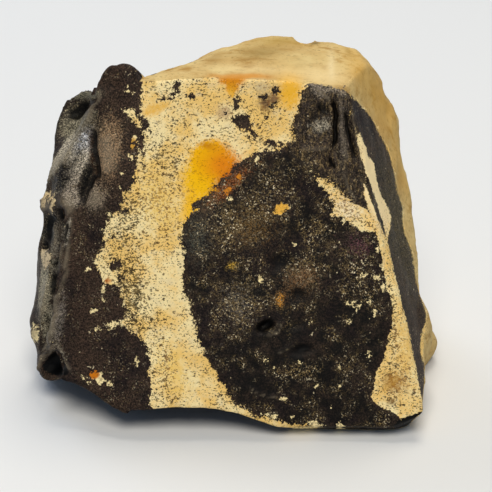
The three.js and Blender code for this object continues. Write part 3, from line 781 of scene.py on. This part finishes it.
carvings = {            # half width left and right of the path, height (- for a groove), path
    "flankRidge": (0.3, 1.3, 0.8, (
        (-25.7, 27.3), (-26.2, 25.7), (-26.6, 23.9), (-27.3, 22.3), (-28.2, 20.9), (-29.3, 19.3),
        (-30.5, 17.7), (-31.8, 16.1), (-33.2, 14.3), (-34.5, 12.5), (-35.5, 10.5),
    )),
    "flankCrack": (0.3, 0.3, -0.9, (
        (-26.2, 25.5), (-26.6, 23.9), (-27.1, 22.5), (-27.9, 21.2), (-28.8, 20), (-29.8, 18.8),
    )),
    "longCrevice": (0.3, 0.7, -1.6, (
        (-27.1, 20.5), (-27.1, 18.9), (-27, 17.1), (-26.6, 15.4), (-26.4, 13.6), (-26.4, 12.1),
    )),
    "creviceFoot": (0.4, 0.8, -1, ((-26.6, 12.9), (-27.7, 11.1), (-28.6, 9.1), (-29.1, 7.3))),
    "boot": (1.3, 0.9, -0.7, ((-27.7, 14.5), (-28.8, 12.5), (-29.5, 10.4), (-29.5, 8.4))),
    "knob": (1.6, 1.6, 0.6, ((-31.8, 9.6), (-32.1, 7.5), (-31.1, 5.7))),
    "brownRoll": (1.8, 1.8, 0.5, ((-24.8, 20), (-24.6, 13))),
    "lowKnob": (1.5, 1.5, 0.5, ((-26.6, 9.6), (-27.5, 7.1))),
    "scoopTrough": (1.6, 2, -0.5, ((-28.9, 18.9), (-30.4, 15.7), (-31.8, 12.5), (-33.2, 10))),
    "sideRidge": (0.5, 0.25, 0.6, ((-31.4, 5.5), (-31.6, 2), (-32, -1.6), (-32, -4.3), (-32.7, -6.6))),
    "sideRidgeLow": (0.5, 0.25, 0.7, (
        (-32.7, -6.2), (-33.6, -8.2), (-33.9, -10), (-33.9, -12.5), (-34.5, -15), (-35.4, -17.1),
        (-36.2, -19.5), (-36.8, -21.4),
    )),
    "creviceUpper": (0.35, 0.3, -1.5, ((-32.3, 4.3), (-32.1, 2.5), (-32.3, 0.4))),
    "creviceMouth": (0.5, 0.5, -1.3, ((-33, 6.6), (-33.2, 4.8))),
    "creviceSide": (0.55, 0.6, -1.8, ((-34.1, -4.8), (-34.5, -6.6), (-34.8, -8.6))),
    "creviceLow": (0.5, 0.5, -0.7, ((-35, -9.3), (-35.2, -11.8), (-35.7, -14.6), (-36.2, -16.8))),
    "creviceInner": (0.25, 0.35, -0.9, ((-33.2, 1.8), (-33.6, -1.1), (-33.8, -4.3))),
    "creviceEdge": (0.7, 0.6, -1.6, ((-35.2, 5.7), (-35.5, 3.6), (-35.4, 1.1))),
    "edgeNotch": (0.6, 0.5, -1.2, ((-36.1, 1.1), (-36.2, -0.7))),
    "fluteA": (0.4, 0.4, 0.5, ((-32.7, 4.3), (-32.7, 0.2), (-33, -3.9))),
    "fluteB": (0.5, 0.5, 0.6, ((-34.3, 4.3), (-34.1, 0.2), (-34.3, -3.6))),
    "fluteC": (0.6, 0.6, 0.6, ((-35.5, -5.4), (-35.9, -9.6), (-36.4, -13.2))),
    "edgeBump": (1, 1.3, 0.9, ((-36.1, 8.6), (-35.7, 6.4))),
    "edgeBumpLow": (0.8, 0.8, 0.8, ((-37.7, -14.6), (-37.5, -16.4))),
    "edgeChip": (0.7, 0.7, 0.3, ((-35.5, -0.7), (-35.7, -3.2))),
    "cornerRidgeLeft": (0.25, 0.4, 0.7, ((-33.9, -17.3), (-35, -19.1), (-36.1, -20.5), (-37, -22))),
    "cornerRidgeRight": (0.4, 0.25, 0.6, ((-33.8, -17.5), (-32.9, -19.3), (-32.1, -20.7), (-31.4, -22.3))),
    "rearPitTail": (0.5, 0.5, -0.8, ((-28.9, 25), (-26.6, 26.2))),
    "plateLip": (0.22, 0.6, 0.6, ((12, 28.9), (13.2, 27.5), (14.5, 26.4), (15.4, 25.4), (15.7, 23.9))),
    "plateCleft": (0.4, 0.35, -1.9, (
        (15.2, 25.9), (15.9, 24.6), (16.1, 22.9), (16.1, 20.7), (16.1, 18.9), (15.5, 17.7),
    )),
    "plateRoll": (0.6, 0.6, 0.35, ((16.6, 26.8), (17.1, 23.9), (17.1, 20.7), (17.5, 17.5), (17.7, 14.5))),
    "plateCrease": (0.3, 0.3, -1.5, ((17.7, 23.9), (18, 21.8), (18.4, 19.6), (18.9, 17.5), (19.3, 15.7))),
    "plateFibre": (0.2, 0.2, 0.35, ((17, 25.6), (17.7, 21.6), (18.1, 18.5), (19.5, 15.4))),
    "plateFibreRight": (0.2, 0.2, 0.35, ((18.8, 24.3), (19.5, 20.3), (20.1, 16.3), (20.8, 13.1))),
    "plateFibreLow": (0.2, 0.2, 0.3, ((16.8, 15.4), (18, 12.6), (19.6, 9.8))),
    "plateLedge": (0.5, 0.25, 0.35, ((10, 17.3), (13.2, 17.3), (15.9, 17.9))),
    "plateCrackLeft": (0.25, 0.25, -1.2, ((14.8, 15.9), (15.2, 15), (15.7, 14.1))),
    "plateCrackRight": (0.2, 0.2, -0.7, ((16.4, 17.5), (16.8, 15.4))),
    "pitLip": (0.2, 0.2, 0.6, ((2.9, -15.9), (4.3, -15.9), (5.7, -15.4), (6.2, -14.5), (5.9, -13.6))),
    "pitLine": (0.18, 0.18, 0.5, ((3.9, -15.7), (5, -14.6), (5.7, -13.6))),
    "chipLine": (0.2, 0.2, 0.4, ((5.4, -19.5), (7, -18.6), (8.6, -17.5))),
    "shellEdge": (0.12, 0.3, 0.45, (
        (0.4, -25), (2.1, -26.4), (3.6, -26.9), (5, -27), (6.2, -27.1), (7.3, -27.5),
    )),
    "creviceThin": (0.22, 0.22, -1.2, ((-33.8, 1.4), (-33.6, -1.1), (-33.8, -3.9))),
    "plateLine": (0.2, 0.4, 0.4, ((17.1, 13.2), (17.9, 11.4), (18.8, 9.6), (19.8, 8.4))),
}
pits = (                # centre, half size, turn, depth
    ((6.3, -2.5), (2.2, 1.9), 0, 0.7), ((3.4, -14.2), (1.4, 0.85), 20, 1.7),
    ((9.4, -8.4), (1.4, 1.1), 0, 0.8), ((10.2, -18.3), (1.9, 0.9), 10, 0.9),
    ((13.6, 24.4), (1.5, 0.9), -35, 0.8), ((12.2, 23), (1, 0.8), 0, 0.5),
    ((-29.8, 24.2), (2.4, 0.9), 36, 1.5), ((-22.4, -9.4), (0.9, 0.9), 0, 0.3),
    ((9, -14), (1.5, 0.8), 20, 0.4), ((-34.2, -20.8), (1.5, 1.7), 0, 1.3),
)
relief = {              # a noise is height (mm), length (mm), octaves, seed and fade
    "seen": (0.0, 0.2),                         # cosines to the eye
    "pathShake": (0.25, 1.6, 1, (71, 72)), "pathEnds": (-0.12, 0.15), "pathPower": 1.4, "pitEdge": 3,
    "scars": {
        "count": 420, "reach": 6.5, "depth": 1.3, "flatten": 0.5, "seed": 5,
        "from": (-40, -16, -2), "to": (36, 44, 62), "shake": (0.8, 4, 1, (91, 92, 93)),
    },
    "behind": (18, 30), "behindScars": 0.6,     # mm back, where the rough back begins
    "rindEdge": (-0.5, 0.8),
    "rindSwell": (1, 8, 4, 31), "rindHeight": 0.55, "rindBehind": 0.6, "rindGrain": (0.12, 1.4, 2, 35),
    "lumpSwell": (0.9, 7, 3, 37), "lumpScars": 0.8,
    "freshSwell": (0.28, 6, 4, 41), "patternedShare": 0.35, "freshGrain": (0.1, 1.8, 2, 45),
    "ridgeNicks": (1, 2.6, 2, 51), "nickDepth": 0.45, "nickWidth": 0.8, "nickMean": 0.1,
    "plateStep": 0.5, "plateEdge": (-0.1, 0.35), "tongueEdge": (-0.3, 0),
    "plateRough": (0.75, 2.2, 4, 61, 0.65), "plateStretch": (1.6, 1, 0.6), "plateRoughEdge": (0, 1),
    "cushionStep": 0.25, "cushionEdge": (-0.1, 0.5),
    "footHeight": 1.5,                          # mm, below which the relief dies down
}


def alongPath(spots, path):
    # distance in mm to a line of straight parts, whether it lies left of it, and how far along, 0 to 1
    path = np.array(path, float)
    start, side = path[:-1], path[1:] - path[:-1]
    lengths = np.hypot(side[:, 0], side[:, 1])
    rel = spots[:, None, :] - start[None]
    t = np.clip((rel * side).sum(-1) / lengths ** 2, 0, 1)
    gap = np.sqrt(((rel - t[..., None] * side) ** 2).sum(-1))
    best = gap.argmin(1)
    row = np.arange(len(spots))
    before = np.concatenate([[0], np.cumsum(lengths)[:-1]])
    nearSide, nearRel = side[best], rel[row, best]
    left = nearSide[:, 0] * nearRel[:, 1] > nearSide[:, 1] * nearRel[:, 0]
    return gap[row, best], left, (before[best] + t[row, best] * lengths[best]) / lengths.sum()


def carve(points, normals):
    # ridges and grooves: height * exp(-(distance / half width)^power), fading out at both ends
    r = relief
    spots = shaken(onSheet(points), points, *r["pathShake"])
    seen = smoothStep(facingEye(points, normals), *r["seen"])
    ridges, grooves = np.zeros(len(points)), np.zeros(len(points))
    for leftHalf, rightHalf, height, path in carvings.values():
        gap, left, along = alongPath(spots, path)
        half = np.where(left, leftHalf, rightHalf)
        ends = smoothStep(along, *r["pathEnds"]) * smoothStep(1 - along, *r["pathEnds"])
        rise = ends * np.exp(-(gap / half) ** r["pathPower"])
        if height > 0:
            ridges = np.maximum(ridges, height * rise)
        else:
            grooves = np.maximum(grooves, -height * rise)
    for centre, size, turn, depth in pits:
        grooves = np.maximum(grooves, depth * softSpot(spots, centre, size, turn, r["pitEdge"]))
    return seen * ridges, seen * grooves


def flakeScars(points):
    # a bowl about each of many scattered spots, and a crest where two bowls meet:
    # depth times the square of the way to the nearest spot, in reaches, less a half
    s = relief["scars"]
    chance = np.random.RandomState(s["seed"])
    spots = chance.uniform(s["from"], s["to"], (s["count"], 3))
    stretch = np.array([1, 1, s["flatten"]])
    wandering = shaken(points, points, *s["shake"])
    nearest = np.full(len(points), np.inf)
    for spot in spots:
        nearest = np.minimum(nearest, (((wandering - spot) * stretch) ** 2).sum(1))
    return s["depth"] * (np.minimum(nearest / s["reach"] ** 2, 1) - 0.5)


def reliefOf(points, normals, owner, ridge, fields):
    # heights in mm, along the normal, of the unevenness too fine for the solid: scars, swells
    # and grain by the skin, nicks along the ridges, the steps of the bands, then the carvings
    r = relief
    rind = smoothStep(fields["rind"], *r["rindEdge"])
    fresh = 1 - rind
    behind = smoothStep(points[:, 1], *r["behind"])
    scars = flakeScars(points)
    height = fresh * onSkin(owner, "scarred") * (1 + r["behindScars"] * behind) * scars
    swell = (r["rindHeight"] + r["rindBehind"] * behind) * noise(points, *r["rindSwell"])
    height += rind * (swell + noise(points, *r["rindGrain"]))
    height += onSkin(owner, "lumpy") * (noise(points, *r["lumpSwell"]) + r["lumpScars"] * scars)
    rough = np.where(onSkin(owner, "patterned"), r["patternedShare"], 1.0)
    height += fresh * (rough * noise(points, *r["freshSwell"]) + noise(points, *r["freshGrain"]))
    nicks = np.maximum(noise(points, *r["ridgeNicks"]) + r["nickMean"], 0)
    height -= fresh * r["nickDepth"] * np.exp(-ridge / r["nickWidth"]) * nicks

    raised = points + normals * height[:, None]
    spots = onSheet(raised)
    plate, tongue, cushion = [insideBy(spots, markings[name]) for name in ("plate", "tongue", "cushion")]
    step = r["plateStep"] * smoothStep(plate, *r["plateEdge"]) * (1 - smoothStep(tongue, *r["tongueEdge"]))
    step += smoothStep(plate, *r["plateRoughEdge"]) * noise(points * r["plateStretch"], *r["plateRough"])
    step += r["cushionStep"] * smoothStep(cushion, *r["cushionEdge"])
    ridges, grooves = carve(raised, normals)
    height += onSkin(owner, "front") * step + ridges - grooves
    lasting = np.where(onSkin(owner, "base"), 0, smoothStep(points[:, 2], 0, r["footHeight"]))
    # also the carvings' own height, for the painted highlight on ridges and painted shade in grooves
    return height * lasting, (ridges - grooves) * lasting


def makeMesh(name, points, quads):
    # smooth four-cornered faces between the points, on an object at the origin
    mesh = bpy.data.meshes.new(name)
    mesh.vertices.add(len(points))
    mesh.vertices.foreach_set("co", points.astype(np.float32).ravel())
    mesh.loops.add(quads.size)
    mesh.loops.foreach_set("vertex_index", quads.astype(np.int32).ravel())
    mesh.polygons.add(len(quads))
    mesh.polygons.foreach_set("loop_start", np.arange(0, quads.size, 4, dtype=np.int32))
    mesh.polygons.foreach_set("use_smooth", np.ones(len(quads), bool))
    mesh.update(calc_edges=True)
    mesh.validate()
    piece = bpy.data.objects.new(name, mesh)
    bpy.context.scene.collection.objects.link(piece)
    return piece


def makeStone():
    # the shell of cells blown out along the rays, raised by the relief, with its fields on it
    fractions, quads = shellOfCells(*stoneShape["cells"])
    rays = insideCage(fractions, stoneShape["corners"]) - heart
    rays /= np.linalg.norm(rays, axis=1, keepdims=True)
    distance, owner, ridge, rindLead = surfaceAlong(rays)
    points = heart + rays * distance[:, None]
    low, high = points.min(0), points.max(0)
    toFrame = np.array([
        (cadLow[0] + cadHigh[0]) / 2 / mm - (low[0] + high[0]) / 2,
        (cadLow[1] + cadHigh[1]) / 2 / mm - (low[1] + high[1]) / 2,
        cadLow[2] / mm - low[2],
    ])
    print("shape worked out, mm:", np.round(high - low, 1))
    normals = pointNormals(points, quads)
    fields = paintStone(points, normals, owner, rindLead)
    height, wear = reliefOf(points, normals, owner, ridge, fields)
    points = points + normals * height[:, None]
    print("relief raised, mm:", np.round([height.min(), height.max()], 2))
    fields = paintStone(points, normals, owner, rindLead)
    # the carvings' height, which the material turns into painted highlight on ridges and painted shade in
    # grooves
    fields["wear"] = wear
    print("markings laid:", sorted(fields))
    piece = makeMesh("landscapeJasper", (points + toFrame) * mm, quads)
    for name, values in fields.items():
        kind, slot = ("FLOAT", "value") if values.ndim == 1 else ("FLOAT_COLOR", "color")
        attribute = piece.data.attributes.new(name, kind, "POINT")
        attribute.data.foreach_set(slot, values.astype(np.float32).ravel())
    print("stone made:", len(quads), "quads")
    return piece, toFrame


def addNode(tree, kind, settings=None, links=(), output=0):
    # adds a node, sets its values, fills or links its sockets, and gives back one output
    node = tree.nodes.new("ShaderNode" + kind)
    for name, value in (settings or {}).items():
        setattr(node, name, value)
    for socket, value in (links.items() if isinstance(links, dict) else enumerate(links)):
        if isinstance(value, bpy.types.NodeSocket):
            tree.links.new(value, node.inputs[socket])
        else:
            node.inputs[socket].default_value = value
    return node.outputs[output]


jasper = {
    "colours": {
        "creamPale": "#FFE9AE", "creamDeep": "#F6CC78", "creamGrey": "#DCCBA4",
        "speck": "#2C2315", "speckSoft": "#6E5A33", "speckStained": "#8A4E0C",
        "darkBase": "#0C0906", "massBase": "#33261D", "darkBrown": "#2A2018", "darkPurple": "#18100F",
        "plateGrey": "#2C251E", "flankLitGrey": "#6E675A", "hollow": "#070605", "ridgeWearAndHighlight": "#8C7F6A",
        "paleFleck": "#EAD9B4", "dimFleck": "#8E784C", "thread": "#86704A",
        "rindPale": "#D8BF84", "rindTan": "#C3A164", "rindOchre": "#A77F40", "rindStain": "#7C6234",
    },
    # noise: length (mm), detail, roughness, shift through the noise; then the levels between
    # which it comes in and, where they aren't 0 and 1, what it gives below and above them.
    # The real grain is finer than a hair: grain, soot and sugar are as coarse as they need to show.
    "clouds": {
        "creamDeep": (6, 4, 0.65, 0.1, 0.38, 0.62),
        "creamGrey": (1.6, 4, 0.7, 0.2, 0.5, 0.75, 0, 0.6),
        "speckSoft": (1.1, 2, 0.6, 0.35, 0.42, 0.6),
        "darkPurple": (7, 3, 0.6, 0.5, 0.4, 0.65),
        "darkBrown": (2.6, 5, 0.7, 0.6, 0.42, 0.72, 0, 0.9),
        "streaks": (1.3, 3, 0.6, 0.55, 0.42, 0.62),
        "fibres": (0.5, 4, 0.7, 0.57, 0.5, 0.62),
        "soot": (0.24, 2, 0.6, 0.64, 0.48, 0.58, 0, 0.85),
        "sugar": (0.22, 2, 0.6, 0.645, 0.56, 0.66, 0, 0.35),
        "fleckPale": (0.8, 2, 0.6, 0.71, 0.44, 0.6),
        "flecks": (0.3, 2, 0.6, 0.7, 0.59, 0.63),
        "dots": (1.1, 3, 0.7, 0.75, 0.7, 0.72),
        "chipStain": (0.5, 3, 0.7, 0.77, 0.48, 0.62),
        "rindPale": (9, 4, 0.6, 0.8, 0.35, 0.65),
        "rindOchre": (3, 5, 0.7, 0.9, 0.48, 0.7),
        "rindStain": (0.8, 4, 0.75, 0.95, 0.53, 0.68, 0, 0.6),
        # these come in as they are, or by their distance from the middle of the noise
        "raggedFine": (0.5, 3, 0.7, 0), "raggedCoarse": (1.8, 2, 0.6, 0),
        "stain": (0.5, 4, 0.75, 0.25), "pepperCrowd": (3.5, 3, 0.6, 0.3),
        "specksFine": (0.28, 2, 0.6, 0.4), "specksCoarse": (0.56, 3, 0.75, 0.45),
        "grit": (0.3, 4, 0.8, 0.62), "mottle": (0.7, 5, 0.8, 0.63),
        "patches": (2.6, 3, 0.6, 0.66), "threads": (0.9, 3, 0.65, 0.68),
        "grain": (0.2, 3, 0.6, 1.1), "wrinkle": (1.1, 4, 0.6, 1.2),
    },
    "squeezed": {       # a small number draws the noise out along that axis
        "specksFine": (0.7, 1, 1), "specksCoarse": (0.7, 1, 1), "streaks": (1, 1, 0.45),
        "fibres": (1, 1, 0.3), "rindOchre": (0.5, 1, 1),
    },
    "levels": {         # from and to and, where they aren't 0 and 1, what they give
        "dark": (-0.06, 0.06), "rind": (-0.2, 0.2), "hollow": (-0.1, 0.15), "chip": (-0.03, 0.05),
        "stained": (0.05, 0.85), "pepper": (-0.2, 1.3, 0.655, 0.49),
        "specksFine": (0.0, 0.06), "specksCoarse": (0.01, 0.05),
        "speckStained": (0.1, 0.8), "speckFaded": (0.2, 0.9, 0.95, 0.45),
        "tinted": (0.12, 0.75), "bright": (0.4, 0.64, 0.2, 2.7),
        "patches": (0.52, 0.82, 0.0, 1.15), "offCushion": (0, 1, 0.55, 1.0),
        "thread": (0.0, 0.03, 1.0, 0.0), "chipTint": (0.1, 0.6),
        "ridgeWearAndHighlight": (0.05, 0.6, 0.0, 0.5), "grooveShade": (-0.8, -0.1, 0.08, 1.0), "gloss": (0, 1, 0.78, 0.55),
    },
    "amounts": {        # how far each is raised, or how much of it is laid on
        "raggedFine": 3.2, "raggedCoarse": 1.5, "rind": 0.7, "hollow": 0.3, "chip": 0.6,
        "stain": 1.6, "mottle": 1.3, "fleck": 0.25,
        "streaks": 0.2, "plateGrey": 0.6, "fibres": 0.45, "darkTint": 0.95, "thread": 0.8,
        "chipStain": 0.55, "rindTint": 0.8,
    },
    "shiftLine": (1, 0.7, -1),          # the way through the noise that a shift goes
    "middle": 0.5,                      # the noise's mean
    "rindRoughness": 0.9, "ior": 1.54, "specular": 0.12,
    "grainShare": 0.35,                 # height of the grain against the wrinkles
    "bumpStrength": 0.7, "bumpDepth": 0.18,     # mm
}


def makeJasper():
    # Landscape jasper: opaque fine-grained quartz as it breaks, with no polish. The cream is
    # matt and peppered, the dark breaks smoother and takes a satin light. The rind is
    # weathered and chalky.
    j = jasper
    levels, amounts = j["levels"], j["amounts"]
    hue = {name: linear(colour) for name, colour in j["colours"].items()}
    material = bpy.data.materials.new("brokenJasper")
    material.use_nodes = True
    tree = material.node_tree
    shader = tree.nodes["Principled BSDF"]
    add = functools.partial(addNode, tree)
    plus, minus, times, larger, unsigned, shifted = [
        {"operation": kind}
        for kind in ("ADD", "SUBTRACT", "MULTIPLY", "MAXIMUM", "ABSOLUTE", "MULTIPLY_ADD")
    ]
    smooth = {"interpolation_type": "SMOOTHSTEP"}
    mixed = {"data_type": "RGBA", "blend_type": "MIX", "clamp_factor": True}

    place = add("TexCoord", output=3)
    field = {
        name: add("Attribute", {"attribute_name": name}, output=2)
        for name in ("dark", "rind", "pepper", "fleck", "cushion", "plate", "flank", "chip", "hollow", "wear")
    }
    creamTint, creamCover, darkTint, darkCover = [
        add("Attribute", {"attribute_name": name}, output=k)
        for name in ("creamTint", "darkTint") for k in (0, 3)
    ]

    def cloud(name):
        # the named noise, 0 to 1
        length, detail, rough, shift = j["clouds"][name][:4]
        at = add("VectorMath", shifted, (
            place, j["squeezed"].get(name, (1, 1, 1)), [shift * part for part in j["shiftLine"]],
        ))
        return add("TexNoise", None, {
            "Vector": at, "Scale": 1 / mm / length, "Detail": detail, "Roughness": rough,
        })

    def patch(name):
        # the named noise, smoothly stepped between its own levels
        return add("MapRange", smooth, (cloud(name), *j["clouds"][name][4:]))

    def swing(name):
        # the named noise less its middle, times its amount
        fromMiddle = add("Math", minus, (cloud(name), j["middle"]))
        return add("Math", times, (fromMiddle, amounts.get(name, 1)))

    def lay(base, colour, *shares):
        # a colour over the base, as much as the product of the shares says
        share = functools.reduce(lambda a, b: add("Math", times, (a, b)), shares)
        return add("Mix", mixed, {0: share, 6: base, 7: colour}, 2)

    def shade(colour, grey):
        # a colour times a grey
        shades = add("CombineColor", None, (grey, grey, grey))
        return add("Mix", {**mixed, "blend_type": "MULTIPLY"}, {0: 1.0, 6: colour, 7: shades}, 2)

    def edged(name):
        # whether a field that counts mm inside its edge is past it, with a ragged border
        strayed = add("Math", times, (ragged, amounts.get(name, 1)))
        strayed = add("Math", plus, (field[name], strayed))
        return add("MapRange", smooth, (strayed, *levels[name]))

    ragged = add("Math", plus, (swing("raggedFine"), swing("raggedCoarse")))
    isDark = edged("dark")

    # cream, greyer and yellower in clouds, peppered with soft dark specks of two sizes
    stain = add("Math", plus, (creamCover, swing("stain")))
    stained, speckStained, speckFaded = [
        add("MapRange", smooth, (stain, *levels[name]))
        for name in ("stained", "speckStained", "speckFaded")
    ]
    cream = lay(hue["creamPale"], hue["creamDeep"], patch("creamDeep"))
    cream = lay(cream, hue["creamGrey"], patch("creamGrey"))
    cream = lay(cream, creamTint, stained)
    threshold = add("Math", plus, (field["pepper"], swing("pepperCrowd")))
    threshold = add("MapRange", smooth, (threshold, *levels["pepper"]))
    specks = [
        add("MapRange", smooth, (add("Math", minus, (cloud(name), threshold)), *levels[name]))
        for name in ("specksFine", "specksCoarse")
    ]
    speck = lay(hue["speck"], hue["speckSoft"], patch("speckSoft"))
    speck = lay(speck, hue["speckStained"], speckStained)
    cream = lay(cream, speck, add("Math", larger, specks), speckFaded)

    # dark, mottled brown and purple, streaked with painted light down the left flank, tinted with colour and
    # with painted light and shade, then gritty with soot and sugar grains
    dark = lay(hue["massBase"], hue["darkBase"], field["cushion"])
    dark = lay(dark, hue["darkPurple"], patch("darkPurple"))
    dark = lay(dark, hue["darkBrown"], patch("darkBrown"))
    # painted light and shade: grey streaks for the light on the left flank's upright flutes
    dark = lay(dark, hue["flankLitGrey"], field["flank"], patch("streaks"), amounts["streaks"])
    dark = lay(dark, hue["plateGrey"], field["plate"], amounts["plateGrey"])
    dark = lay(dark, hue["thread"], field["plate"], patch("fibres"), amounts["fibres"])
    grit = cloud("grit")
    mottle = add("Math", plus, (swing("mottle"), add("Math", minus, (grit, j["middle"]))))
    tinted = add("Math", plus, (darkCover, mottle))
    tinted = add("MapRange", smooth, (tinted, *levels["tinted"]))
    # colour tints, and on the left flank painted highlights and painted shade
    dark = lay(dark, darkTint, tinted, amounts["darkTint"])
    dark = shade(dark, add("MapRange", smooth, (grit, *levels["bright"])))
    dark = lay(dark, hue["darkBase"], patch("soot"), darkCover)
    dark = lay(dark, hue["paleFleck"], patch("sugar"), darkCover)

    # pale flecks and fine threads, crowded together in patches, then dots, painted shadow and chips
    crowd = add("Math", plus, (cloud("patches"), add("Math", times, (field["fleck"], amounts["fleck"]))))
    patches = add("MapRange", smooth, (crowd, *levels["patches"]))
    offCushion = add("MapRange", smooth, (field["cushion"], *levels["offCushion"]))
    patches = add("Math", times, (patches, offCushion))
    thread = add("Math", unsigned, (swing("threads"),))
    thread = add("MapRange", smooth, (thread, *levels["thread"]))
    dark = lay(dark, hue["thread"], thread, patches, field["cushion"], amounts["thread"])
    fleck = lay(hue["dimFleck"], hue["paleFleck"], patch("fleckPale"))
    dark = lay(dark, fleck, patch("flecks"), patches)
    dark = lay(dark, hue["creamGrey"], patch("dots"))
    # painted shadow, nearly black, where the field says
    dark = lay(dark, hue["hollow"], edged("hollow"))
    chipTint = add("MapRange", smooth, (creamCover, *levels["chipTint"]))
    chip = lay(hue["creamPale"], creamTint, chipTint)
    chip = lay(chip, hue["speckSoft"], patch("chipStain"), amounts["chipStain"])
    dark = lay(dark, chip, edged("chip"))

    # the rind, tan with ochre and brown stains
    rind = lay(hue["rindTan"], hue["rindPale"], patch("rindPale"))
    rind = lay(rind, hue["rindOchre"], patch("rindOchre"))
    rind = lay(rind, hue["rindStain"], patch("rindStain"))
    rind = lay(rind, creamTint, creamCover, amounts["rindTint"])

    # one over the other, with the ridges painted pale as wear and as painted highlight, and painted shade in
    # the grooves
    isRind = edged("rind")
    colour = lay(lay(cream, dark, isDark), rind, isRind)
    # painted highlight and wear: the carved ridges painted pale
    colour = lay(colour, hue["ridgeWearAndHighlight"], add("MapRange", smooth, (field["wear"], *levels["ridgeWearAndHighlight"])))
    # painted shade: the grooves darkened by how deep they are carved
    colour = shade(colour, add("MapRange", smooth, (field["wear"], *levels["grooveShade"])))
    tree.links.new(colour, shader.inputs["Base Color"])

    gloss = add("MapRange", smooth, (isDark, *levels["gloss"]))
    gloss = add("Mix", {"data_type": "FLOAT"}, {0: isRind, 2: gloss, 3: j["rindRoughness"]})
    tree.links.new(gloss, shader.inputs["Roughness"])
    shader.inputs["IOR"].default_value = j["ior"]
    shader.inputs["Specular IOR Level"].default_value = j["specular"]

    # the sugary grain of the break on soft wrinkles
    height = add("Math", times, (cloud("grain"), j["grainShare"]))
    height = add("Math", plus, (height, cloud("wrinkle")))
    bump = add("Bump", None, {
        "Strength": j["bumpStrength"], "Distance": j["bumpDepth"] * mm, "Height": height,
    })
    tree.links.new(bump, shader.inputs["Normal"])
    print("material made:", len(tree.nodes), "nodes")
    return material


table = {"half": 3.0, "colour": "#E3E4E4", "roughness": 0.7}      # half its side in m


def makeTable():
    # matt pale paint on a flat square about the origin, at the height where the stone rests
    half = table["half"]
    mesh = bpy.data.meshes.new("table")
    corners = [(-half, -half, 0), (half, -half, 0), (half, half, 0), (-half, half, 0)]
    mesh.from_pydata(corners, [], [(0, 1, 2, 3)])
    top = bpy.data.objects.new("table", mesh)
    bpy.context.scene.collection.objects.link(top)
    material = bpy.data.materials.new("paleTable")
    material.use_nodes = True
    shader = material.node_tree.nodes["Principled BSDF"]
    shader.inputs["Base Color"].default_value = linear(table["colour"])
    shader.inputs["Roughness"].default_value = table["roughness"]
    mesh.materials.append(material)
    print("table made, m across:", 2 * half)


studio = {
    "worldColour": "#B2CCEA", "worldStrength": 0.26,
    "lights": (         # name, place (m), aimed at (m), size (m), power (W), colour
        ("overheadBehind", (0.1, 0.4, 0.9), (0, 0, 0.03), 0.4, 3.8, "#FFF6E6"),
        ("overheadFront", (0.0, -0.5, 0.9), (0, 0, 0.03), 0.6, 6.9, "#FFF8EC"),
        ("leftBehind", (-0.45, 0.6, 0.7), (0, 0, 0.03), 0.45, 2.3, "#E4EDFF"),
    ),
}


def pointAt(thing, place, target):
    # looks along the line from place to target, with its top upwards
    thing.location = place
    line = Vector(target) - Vector(place)
    thing.rotation_euler = line.to_track_quat("-Z", "Y").to_euler()


def makeStudio(toFrame):
    # a pale blue world, three round soft lamps, and the camera at the eye of the markings' sheet:
    # lens = sensor * pixels per mm * distance / pixels across
    scene = bpy.context.scene
    world = bpy.data.worlds.new("studio")
    scene.world = world
    world.use_nodes = True
    sky = world.node_tree.nodes["Background"]
    sky.inputs["Color"].default_value = linear(studio["worldColour"])
    sky.inputs["Strength"].default_value = studio["worldStrength"]
    for name, place, target, size, power, colour in studio["lights"]:
        lamp = bpy.data.lights.new(name, "AREA")
        lamp.shape = "DISK"
        lamp.size = size
        lamp.energy = power
        lamp.color = linear(colour)[:3]
        light = bpy.data.objects.new(name, lamp)
        pointAt(light, place, target)
        scene.collection.objects.link(light)

    lens = bpy.data.cameras.new("camera")
    lens.sensor_width = sight["sensor"]
    lens.lens = sight["sensor"] * sight["pixelsPerMm"] * sight["distance"] / sight["pixelsAcross"]
    camera = bpy.data.objects.new("camera", lens)
    camera.location = (sightFrom + toFrame) * mm
    camera.rotation_euler = (math.radians(90 - sight["height"]), 0, 0)
    scene.collection.objects.link(camera)
    scene.camera = camera
    scene.view_settings.view_transform = "Standard"


stone, toFrame = makeStone()
stone.data.materials.append(makeJasper())
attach(stone, "root")
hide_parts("stone")
makeTable()
makeStudio(toFrame)
print("studio ready")
